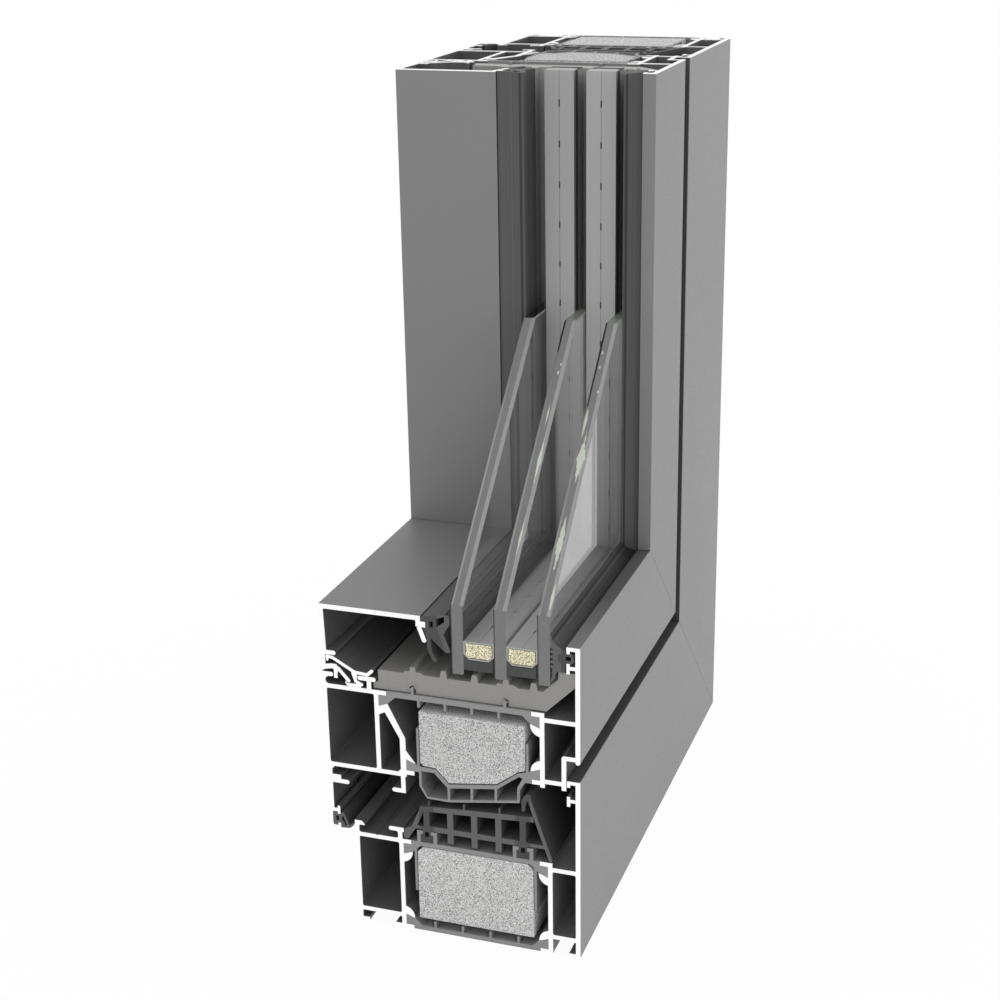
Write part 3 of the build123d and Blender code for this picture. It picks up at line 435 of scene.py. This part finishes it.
# Painted shade on the rolled sides.
rolled = clip.shade(clip_side_painted_shade, clip.spread(drawn, *clip_line_tones))
clip.set(base_color=clip.tint(clip.cut_ends(), rolled, saw_bright), metallic=clip.cut_ends(), roughness=0.4)
clip.bump(drawn, clip_line_height)
dress(clip, *both_legs("bead_clip"))

# Plastic bars of the thermal break.
# Glass-fibre polyamide, extruded and rolled into the grooves of the shells so that they join both sides.
# The grey is even, with faint die lines along the bar and short fibres in the cut ends.
polyamide_side = grey(0.23)
polyamide_cut = grey(0.265)
fibre_grain = 5200.0
fibre_tones = (0.94, 1.06)
bar_lines = 1500.0
bar_line_tones = (0.93, 1.07)
bar_line_height = 0.00003

polyamide = Finish("polyamide")
fibres = polyamide.spread(polyamide.cloud(fibre_grain, detail=3.0), *fibre_tones)
drawn = polyamide.die_lines(bar_lines)
tone = polyamide.times(fibres, polyamide.spread(drawn, *bar_line_tones))
colour = polyamide.tint(polyamide.cut_ends(), polyamide_side, polyamide_cut)
polyamide.set(base_color=polyamide.shade(colour, tone), roughness=0.55, specular_ior_level=0.3)
polyamide.bump(drawn, bar_line_height)
dress(polyamide, *both_legs("frame_bar_upper", "frame_bar_lower", "sash_bar_upper", "sash_bar_chambered"))

# Foam cores.
# Rigid closed-cell foam, cut to a block and pushed into the thermal break before the bars are rolled in.
# The broken cells show as dark specks on a light ground.
foam_side = (0.92, 0.92, 0.91, 1)
foam_cut = (0.7, 0.7, 0.695, 1)

# Dark specks where the noise is low, cells that darken towards their walls, and a soft mottle
speck_grain = 3600.0
speck_noise = (0.37, 0.52)
speck_tones = (0.22, 1.06)
cell_grain = 4200.0
cell_reach = (0.15, 0.75)
cell_tones = (1.12, 0.7)
mottle_grain = 260.0
mottle_tones = (0.97, 1.03)

# The relief of the broken cells
cell_relief_grain = 3200.0
cell_relief_height = 0.00004

# The lower core is painted paler as painted light, and the tone falls off between these heights.
paler_up_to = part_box("frame_foam_sill")[1].z - 0.0014
plain_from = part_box("sash_foam_sill")[1].z - 0.0103
core_painted_light = (1.1, 1.0)

foam = Finish("foam")
specks = foam.range(foam.cloud(speck_grain, detail=3.0), *speck_noise, *speck_tones)
cells = foam.range(foam.grains(cell_grain), *cell_reach, *cell_tones)
mottle = foam.spread(foam.cloud(mottle_grain), *mottle_tones)
# Painted light: the lower core is made paler than the upper.
lower_core_painted_light = foam.range(foam.height, paler_up_to, plain_from, *core_painted_light)
colour = foam.tint(foam.cut_ends(), foam_side, foam_cut)
foam.set(base_color=foam.shade(colour, foam.times(specks, cells, mottle, lower_core_painted_light)))
foam.set(roughness=0.9, specular_ior_level=0.1)
foam.bump(foam.cloud(cell_relief_grain), cell_relief_height)
dress(foam, *both_legs("frame_foam", "sash_foam"))

# Glazing bridge.
# Hard plastic extrusion in a warm grey that snaps over the sash bar and carries the glass on its ridges.
# On the jamb it shows only at the bottom of the empty glass slots, where it is painted paler as painted
# light.
bridge_grey = (0.268, 0.264, 0.256, 1)
bridge_slot_painted_light = (0.4, 0.394, 0.38, 1)
bridge_lines = 1200.0
bridge_line_tones = (0.96, 1.04)
bridge_line_height = 0.00002

bridge = Finish("bridge_plastic")
drawn = bridge.die_lines(bridge_lines)
# Painted light: the bridge is paler on the jamb, in the slots, than on the sill.
plain = bridge.either(bridge.on_the_sill(), bridge.cut_ends())
colour = bridge.tint(plain, bridge_slot_painted_light, bridge_grey)
colour = bridge.shade(colour, bridge.spread(drawn, *bridge_line_tones))
bridge.set(base_color=colour, roughness=0.5, specular_ior_level=0.35)
bridge.bump(drawn, bridge_line_height)
dress(bridge, *both_legs("glazing_bridge"))

# Rubber gaskets.
# Extruded rubber in dark grey: the centre seal and the stop seal between frame and sash,
# and the inner and outer seals that hold the glass. The harder rubber of the feet shows darker in the cut.
# The inner and outer seals carry painted shade: dark lines in gaps and folds, and the outer seal darker
# along the sill.
rubber_lines = 1800.0
rubber_line_tones = (0.88, 1.12)
rubber_line_height = 0.00004
rubber_grain = 3000.0
rubber_grain_tones = (0.95, 1.05)

# Centre seal: the two feet, each as far in from an end of the bar, and the top of their channels
bar_start, bar_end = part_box("frame_bar_upper_sill")
foot_inset = 0.00825
foot_places = (bar_start.x + foot_inset, bar_end.x - foot_inset)
foot_reach = 0.0026
channel_top = bar_end.z

# Inner seal: where the soft bulb begins, the gap beside the bead, and the crown at the glass
room_glass_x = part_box("pane_inner")[0].x
soft_edge_x = room_glass_x - 0.0046
soft_edge_z = bead_top - 0.0033
soft_slant = 0.346
bead_gap_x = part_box("inner_gasket_sill")[0].x + 0.00035
bead_gap_depth = 0.001
crown_edge_x = room_glass_x - 0.002
crown_low = bead_top + 0.0012

# Outer seal: the neck between the hooks, the hollow foot, the flank at the glass and the fold under the lip
neck_x = weather_x - 0.006
neck_edge = 0.001
neck_low = sash_top - 0.00535
neck_high = sash_top - 0.0027
slot_x = weather_x - 0.0033
flank_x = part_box("pane_outer")[1].x + 0.00134
flank_low = sash_top - 0.0012
fold_height = sash_top + 0.002
fold_reach = 0.0005


def extruded_rubber(name, side_tone, cut_tone, zones=(), lines=(), sill_painted_shades=(1.0, 1.0), flank=None):
    """Rubber with fine lines along it.

    Each zone of the cut, and each line on the sides, is a mask and its tone; the lines are painted shade.
    The sill's tones are factors of painted shade at the sawn end and near the corner, and the flank is a
    mask with two more of them.
    """
    rubber = Finish(name)
    drawn = rubber.die_lines(rubber_lines)
    fine = rubber.spread(rubber.cloud(rubber_grain), *rubber_grain_tones)
    cut = rubber.vector(cut_tone, cut_tone, cut_tone)
    for mask, zone_tone in zones:
        cut = rubber.tint(mask(rubber), cut, grey(zone_tone))
    side = rubber.vector(side_tone, side_tone, side_tone)
    # Painted shade: each line on the sides is a dark line in a gap, fold or turn.
    for mask, painted_line_shade in lines:
        side = rubber.tint(mask(rubber), side, grey(painted_line_shade))
    # Painted shade: along the sill the sides darken towards the corner, and the flank still more.
    tone = rubber.times(rubber.spread(drawn, *rubber_line_tones), fine, rubber.sill_run(*sill_painted_shades))
    if flank:
        mask, *shades = flank
        tone = rubber.times(tone, rubber.range(mask(rubber), 0.0, 1.0, 1.0, rubber.sill_run(*shades)))
    colour = rubber.tint(rubber.cut_ends(), rubber.shade(side, tone), rubber.shade(cut, fine))
    rubber.set(base_color=colour, roughness=0.6, specular_ior_level=0.3)
    rubber.bump(drawn, rubber_line_height)
    return rubber


def over_a_foot(rubber):
    """A mask: one over either foot of the centre seal."""
    return rubber.either(*(rubber.beside(rubber.x, place, foot_reach) for place in foot_places))


def in_a_channel(rubber):
    """A mask: one in the part of a foot that is held by its channel."""
    return rubber.both(over_a_foot(rubber), rubber.below(rubber.height, channel_top))


def hard_side(rubber):
    """A mask: one in the grip of the inner seal, up to the softer bulb and lip."""
    slant = rubber.maths("MAXIMUM", rubber.maths("SUBTRACT", soft_edge_z, rubber.height), 0.0)
    edge = rubber.maths("ADD", rubber.times(slant, soft_slant), soft_edge_x)
    return rubber.below(rubber.x, edge)


def beside_the_bead(rubber):
    """A mask: one in the narrow gap between the bead and its seal, where a painted shadow line goes."""
    near_the_top = rubber.above(rubber.height, bead_top - bead_gap_depth)
    return rubber.both(rubber.below(rubber.x, bead_gap_x), near_the_top)


def past_the_crown(rubber):
    """A mask: one on the rounded top of the inner seal, where it turns down to the glass, which takes
    painted shade.
    """
    return rubber.both(rubber.above(rubber.x, crown_edge_x), rubber.above(rubber.height, crown_low))


def hard_neck(rubber):
    """A mask: one in the neck of the outer seal and beside the hooks that hold it."""
    narrow = rubber.both(rubber.above(rubber.height, neck_low), rubber.below(rubber.height, neck_high))
    near = rubber.both(narrow, rubber.above(rubber.x, neck_x - neck_edge))
    return rubber.either(near, rubber.above(rubber.x, neck_x))


def foot_ring(rubber):
    """A mask: one in the hollow foot of the outer seal, inside the face groove."""
    return rubber.above(rubber.x, slot_x)


def beside_the_groove(rubber):
    """A mask: one on the flank of the outer seal, from the foot of its lip to the face groove, which takes
    painted shade.
    """
    return rubber.both(rubber.above(rubber.x, flank_x), rubber.above(rubber.height, flank_low))


def under_the_lip(rubber):
    """A mask: one in the fold under the lip of the outer seal, where a painted shadow line goes."""
    return rubber.beside(rubber.height, fold_height, fold_reach)


centre_rubber = extruded_rubber(
    "centre_rubber", side_tone=0.075, cut_tone=0.117, zones=((over_a_foot, 0.07), (in_a_channel, 0.053)),
)
dress(centre_rubber, *both_legs("centre_gasket"))
stop_rubber = extruded_rubber("stop_rubber", side_tone=0.075, cut_tone=0.106)
dress(stop_rubber, *both_legs("stop_gasket"))
inner_rubber = extruded_rubber(
    "inner_rubber", side_tone=0.082, cut_tone=0.1, zones=((hard_side, 0.065),),
    lines=((beside_the_bead, 0.02), (past_the_crown, 0.038)),
)
dress(inner_rubber, *both_legs("inner_gasket"))
# Painted shade along the sill, under the lip and on the flank.
outer_rubber = extruded_rubber(
    "outer_rubber", side_tone=0.08, cut_tone=0.108, zones=((hard_neck, 0.062), (foot_ring, 0.083)),
    lines=((under_the_lip, 0.035),), sill_painted_shades=(0.64, 0.512), flank=(beside_the_groove, 0.85, 0.48),
)
dress(outer_rubber, *both_legs("outer_gasket"))

# Panes.
# Three sheets of clear float glass, sawn back in a slope so that the unit can be seen in section.
# Their ground edges are grey, with a painted shadow line at the room side, and painted glints in a few
# places.
panes = ("pane_inner", "pane_middle", "pane_outer")
room_sides = [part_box(pane)[0].x for pane in panes]
glass_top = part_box("pane_inner")[1].z
facing_a_side = 0.3
nearly_square = 0.9
arris_line = 0.00035
slope_line = 0.0008
dark_from = (glass_top - 0.0086, glass_top - 0.0218)
# Painted glints: pale green lozenges on the slopes that stand in for light seen through the glass.
painted_glint_places = (
    # the pane, how far from its room side and how far below its top, half the width, half the height
    ("pane_outer", 0.001, 0.0256, 0.0006, 0.0039),
    ("pane_outer", 0.0023, 0.0348, 0.0012, 0.0059),
    ("pane_outer", 0.002, 0.0553, 0.001, 0.0069),
    ("pane_outer", 0.0034, 0.0682, 0.0004, 0.0037),
    ("pane_outer", 0.0015, 0.0078, 0.0003, 0.0005),
    ("pane_outer", 0.0017, 0.0115, 0.0003, 0.0005),
    ("pane_outer", 0.0029, 0.0178, 0.0003, 0.0005),
    ("pane_middle", 0.0023, 0.0246, 0.0003, 0.0034),
    ("pane_middle", 0.0031, 0.0362, 0.0005, 0.0056),
    ("pane_middle", 0.003, 0.0549, 0.0003, 0.0048),
    ("pane_middle", 0.0027, 0.0115, 0.0003, 0.0005),
    ("pane_middle", 0.0024, 0.0137, 0.0004, 0.0006),
)
ragged_grain = 700.0
ragged_reach = 0.2
edge_tones = (0.95, 1.05)
edge_roughness = 0.3
clear_body = (1.0, 1.0, 1.0, 1)
sawn_edge = (0.155, 0.156, 0.155, 1)
# Painted light: the arrises facing the weather side are paler, and those facing the room less so.
weather_arris_painted_light = (0.27, 0.27, 0.268, 1)
room_arris_painted_light = (0.2, 0.2, 0.198, 1)
arris_shadow = grey(0.02)
slope_shadow = grey(0.008)
painted_glint = (0.5, 0.55, 0.46, 1)
# Painted light: the tops of the middle and outer pane are a pale green, as light through the glass shows.
top_painted_light = (0.21, 0.235, 0.2, 1)


def painted_glint_spot(glass, pane, from_room_side, below_top, half_width, half_height):
    """A mask: one in a slim lozenge on a pane's slope, where a painted glint stands in for light through the
    glass.
    """
    low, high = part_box(pane)
    across = glass.maths("DIVIDE", glass.away_from(glass.x, low.x + from_room_side), half_width)
    along = glass.maths("DIVIDE", glass.away_from(glass.z, high.z - below_top), half_height)
    ragged = glass.spread(glass.cloud(ragged_grain, detail=1.0), -ragged_reach, ragged_reach)
    return glass.below(glass.maths("ADD", glass.maths("ADD", across, along), ragged), 1.0)


glass = Finish("clear_glass")
facing = glass.tree.nodes.new("ShaderNodeNewGeometry").outputs["True Normal"]
towards_x, towards_y, towards_z = glass.split(facing)
top_edge = glass.above(towards_z, nearly_square)
shaded_top = glass.both(top_edge, glass.below(glass.x, room_sides[1]))
ground = glass.both(glass.beside(towards_x, 0.0, nearly_square), glass.outside(shaded_top))
# Painted light on the arrises, by the side they face.
edge = glass.tint(glass.above(towards_x, facing_a_side), sawn_edge, weather_arris_painted_light)
edge = glass.tint(glass.below(towards_x, -facing_a_side), edge, room_arris_painted_light)
arrises = [glass.beside(glass.x, room_side + arris_line / 2, arris_line / 2) for room_side in room_sides]
shadow_line = glass.both(glass.below(towards_y, -nearly_square), glass.either(*arrises))
edge = glass.tint(shadow_line, edge, arris_shadow)
for room_side, height in zip(room_sides[1:], dark_from):
    on_the_slope = glass.beside(glass.x, room_side + slope_line / 2, slope_line / 2)
    edge = glass.tint(glass.both(on_the_slope, glass.above(glass.z, height)), edge, slope_shadow)
# Painted glints on the slopes.
edge = glass.tint(glass.either(*(painted_glint_spot(glass, *place) for place in painted_glint_places)), edge, painted_glint)
# Painted light on the tops of the middle and outer pane.
edge = glass.tint(top_edge, edge, top_painted_light)
edge = glass.shade(edge, glass.spread(glass.cloud(ragged_grain, detail=3.0), *edge_tones))
glass.set(base_color=glass.tint(ground, clear_body, edge), ior=1.54)
glass.set(roughness=glass.times(ground, edge_roughness), transmission_weight=glass.outside(ground))
dress(glass, *panes)

# Light passes the two panes nearer to it as it passes real glass: they cast no shadow on what is behind.
for pane in panes[1:]:
    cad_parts[pane].visible_shadow = False
    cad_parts[pane].visible_diffuse = False

# Spacers.
# Roll-formed metal tubes with a welded seam and a row of short slots on top, bent round the corner.
# They keep the panes apart, and the seal covers the lower part of their flanks.
bars = ("spacer_inner", "spacer_outer")
near_side, far_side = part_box(bars[0])
bar_base = near_side.z
bar_half = (far_side.x - near_side.x) / 2
bar_depth = 0.0061
bar_chamfer = 0.0017
middles = [sum(corner.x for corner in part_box(bar)) / 2 for bar in bars]
flank_skin = 0.00006
flank_shown = 0.0018
seam_reach = 0.0001
# Painted light: the outer spacer is made a little paler than the inner, though both are the same metal.
inner_bar = (0.32, 0.32, 0.318, 1)
outer_bar_painted_light = (0.345, 0.345, 0.343, 1)
# Painted shade on the flanks; their lower part is dark both for the seal and as painted shade.
bar_flank_painted_shade = grey(0.2)
buried_flank_seal_and_shade = grey(0.022)
bar_seam = grey(0.16)
bar_cut = (0.36, 0.36, 0.34, 1)
strip_lines = 1600.0
strip_line_tones = (0.96, 1.04)
strip_line_height = 0.00002


def from_the_middle(finish):
    """Distance from the middle plane of the nearer spacer."""
    first, second = (finish.away_from(finish.x, middle) for middle in middles)
    return finish.maths("MINIMUM", first, second)


spacer = Finish("spacer_metal")
drawn = spacer.die_lines(strip_lines)
# Painted light on the outer spacer.
metal = spacer.tint(spacer.above(spacer.x, sum(middles) / 2), inner_bar, outer_bar_painted_light)
metal = spacer.shade(metal, spacer.spread(drawn, *strip_line_tones))
# Painted shade on the flanks, darkest on their lower part, where the seal lies.
flank = spacer.above(from_the_middle(spacer), bar_half - flank_skin)
buried = spacer.both(flank, spacer.below(spacer.height, bar_base + bar_depth - flank_shown))
metal = spacer.tint(flank, metal, bar_flank_painted_shade)
metal = spacer.tint(buried, metal, buried_flank_seal_and_shade)
metal = spacer.tint(spacer.below(from_the_middle(spacer), seam_reach), metal, bar_seam)
metal = spacer.tint(spacer.below(spacer.y, cut_y + skin), metal, bar_cut)
spacer.set(base_color=metal, roughness=0.4)
spacer.bump(drawn, strip_line_height)
dress(spacer, *bars)

# Drying grains.
# Fine cream beads poured into the spacers, which keep the air between the panes dry.
# They lie in the shade of the tube at its walls.
bead_grain = 2200.0
bead_drift = 900.0
bead_tones = (0.92, 1.08)
bead_cream = (1.0, 0.94, 0.7, 1)
bead_gap_shade = (0.34, 0.3, 0.16, 1)
wall_shade = (0.05, 0.045, 0.03, 1)
flank_wall = 0.0007
floor_wall = 0.0007
roof_wall = 0.0006

# How far from a grain's middle its rim darkens, and where its crown comes down to the gap
bead_rim = (0.3, 0.75)
bead_end = 0.8
bead_relief = 0.0002
bead_relief_strength = 0.8


def over_the_floor(finish):
    """Height over the outside of the spacer's floor, whose corners are chamfered."""
    past_the_flat = finish.maths("SUBTRACT", from_the_middle(finish), bar_half - bar_chamfer)
    floor_height = finish.maths("ADD", finish.maths("MAXIMUM", past_the_flat, 0.0), bar_base)
    return finish.maths("SUBTRACT", finish.height, floor_height)


desiccant = Finish("desiccant_grains")
distance = desiccant.grains(bead_grain)
colour = desiccant.tint(desiccant.range(distance, *bead_rim, 0.0, 1.0), bead_cream, bead_gap_shade)
colour = desiccant.shade(colour, desiccant.spread(desiccant.cloud(bead_drift, detail=1.0), *bead_tones))
at_a_wall = desiccant.either(
    desiccant.above(from_the_middle(desiccant), bar_half - flank_wall),
    desiccant.below(over_the_floor(desiccant), floor_wall),
    desiccant.above(desiccant.height, bar_base + bar_depth - roof_wall),
)
shaded = desiccant.either(at_a_wall, desiccant.outside(desiccant.cut_ends()))
desiccant.set(base_color=desiccant.tint(shaded, colour, wall_shade), roughness=0.8)
crown = desiccant.range(distance, 0.0, bead_end, 1.0, 0.0)
desiccant.bump(crown, bead_relief, strength=bead_relief_strength)
dress(desiccant, "desiccant_inner", "desiccant_outer")

# Edge seal.
# A dull dark sealant, poured behind the spacers flush with the edges of the glass.
# In the cut it is darkest beside the weather-side panes and in a thin line round each spacer.
strip_reach = 0.0005
line_depth = 0.0003
seal_side = grey(0.3)
seal_cut = grey(0.068)
seal_shadow = grey(0.02)
seal_drift = 500.0
seal_tones = (0.92, 1.08)
seal_relief_grain = 700.0
seal_relief = 0.00005

sealant = Finish("edge_sealant")
weather_strips = [sealant.beside(sealant.x, middle + bar_half, strip_reach) for middle in middles]
thin_line = sealant.above(over_the_floor(sealant), -line_depth)
dark = sealant.both(sealant.cut_ends(), sealant.either(*weather_strips, thin_line))
colour = sealant.tint(sealant.cut_ends(), seal_side, seal_cut)
colour = sealant.tint(dark, colour, seal_shadow)
sealant.set(base_color=sealant.shade(colour, sealant.spread(sealant.cloud(seal_drift), *seal_tones)))
sealant.set(roughness=0.7, specular_ior_level=0.2)
sealant.bump(sealant.cloud(seal_relief_grain), seal_relief)
dress(sealant, "sealant_inner", "sealant_outer")
